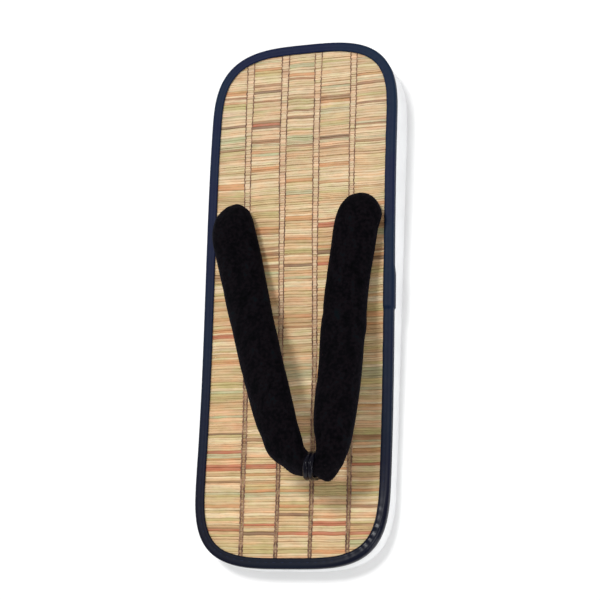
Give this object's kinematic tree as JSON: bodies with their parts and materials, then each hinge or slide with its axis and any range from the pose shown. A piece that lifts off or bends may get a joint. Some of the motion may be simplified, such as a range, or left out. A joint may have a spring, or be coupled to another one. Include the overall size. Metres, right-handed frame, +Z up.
{
  "type": "zori sandal",
  "caption": "Flat zori sandal for the right foot: white foam wedge, straw footbed bound in navy tape, and a padded black velvet thong strap.",
  "frame": {"origin": "on the floor, under the middle of the sole's length and width", "axes": "+X to the little toe's side, +Y to the toe, +Z up"},
  "size_m": [0.0967, 0.26, 0.0523],
  "materials": {
    "white_foam": "matte closed-cell foam with a fine skin",
    "rush_straw": "woven rush straw with a low natural sheen",
    "navy_tape": "glossy vinyl tape, stitched down and puckered",
    "black_velvet": "short velvet pile over soft padding",
    "dark_cord": "smooth coated cord with a soft gloss"
  },
  "bodies": {
    "root": {"sole": "white_foam", "straw_mat": "rush_straw", "binding": "navy_tape", "strap": "black_velvet", "toe_cord": "dark_cord"}
  },
  "joints": []
}
